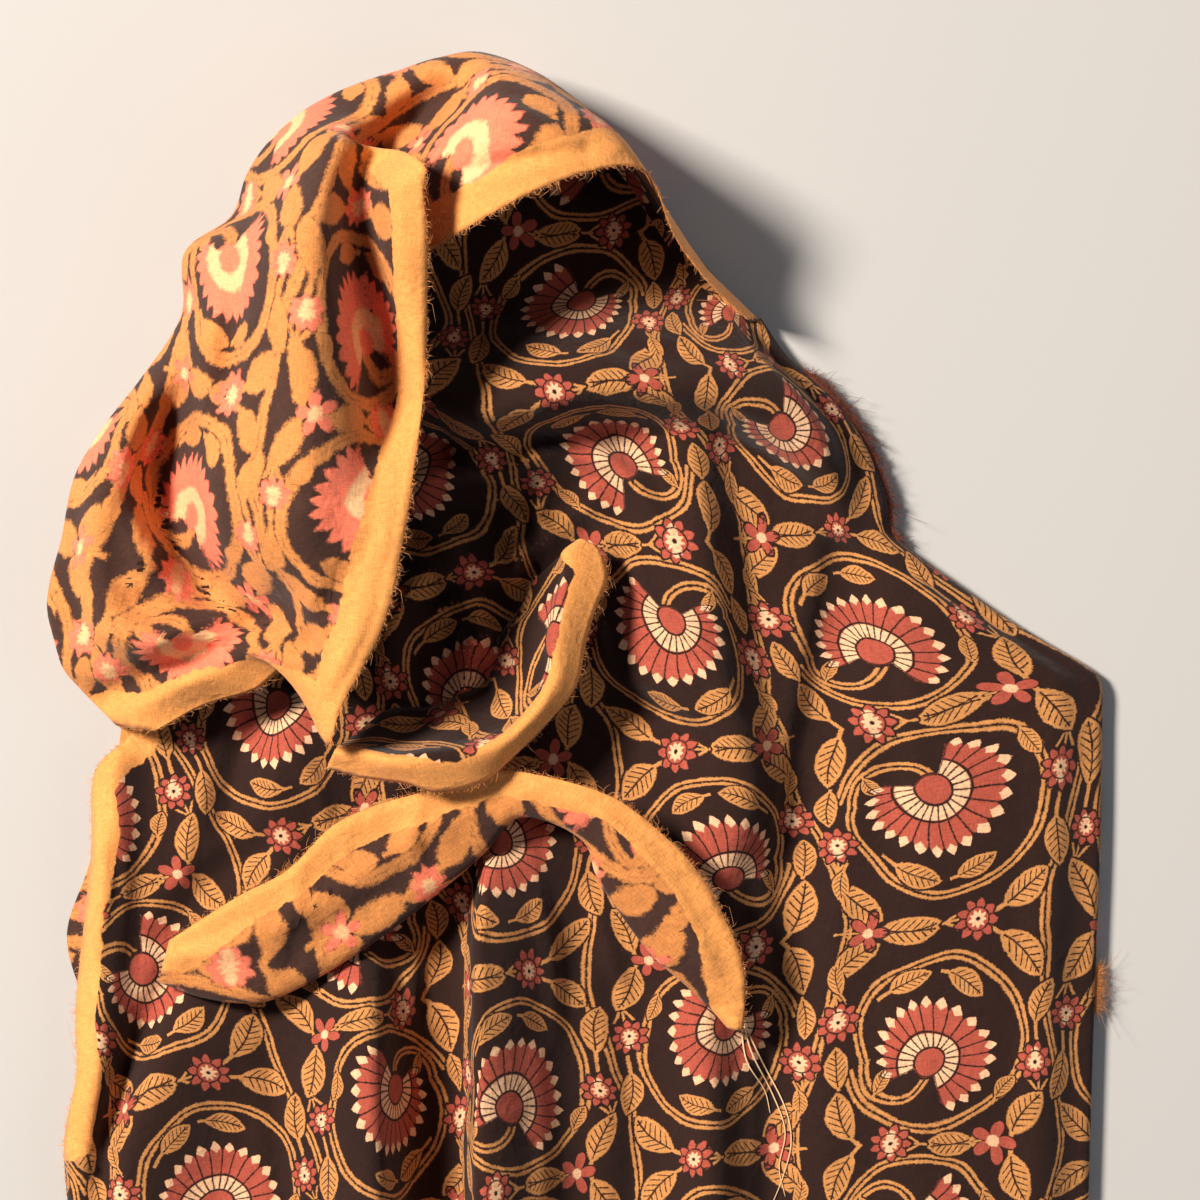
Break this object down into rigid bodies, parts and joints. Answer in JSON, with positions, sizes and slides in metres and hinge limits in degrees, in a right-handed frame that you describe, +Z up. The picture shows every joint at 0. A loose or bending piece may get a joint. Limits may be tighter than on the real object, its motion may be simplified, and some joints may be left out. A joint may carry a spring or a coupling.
{
  "type": "printed cotton fabric",
  "caption": "Cut length of block-printed cotton with a flowering vine, lying crumpled with its borders rolled over and its side turned under.",
  "frame": {"origin": "centre of the bounding box at the surface the cloth lies on", "axes": "+Z up from that surface, +Y towards the cloth's rolled top border, +X towards its folded right side"},
  "size_m": [0.355, 0.4264, 0.0919],
  "materials": {
    "cotton": "matt plain weave, printed"
  },
  "bodies": {
    "root": {"cloth": "cotton"}
  },
  "joints": []
}
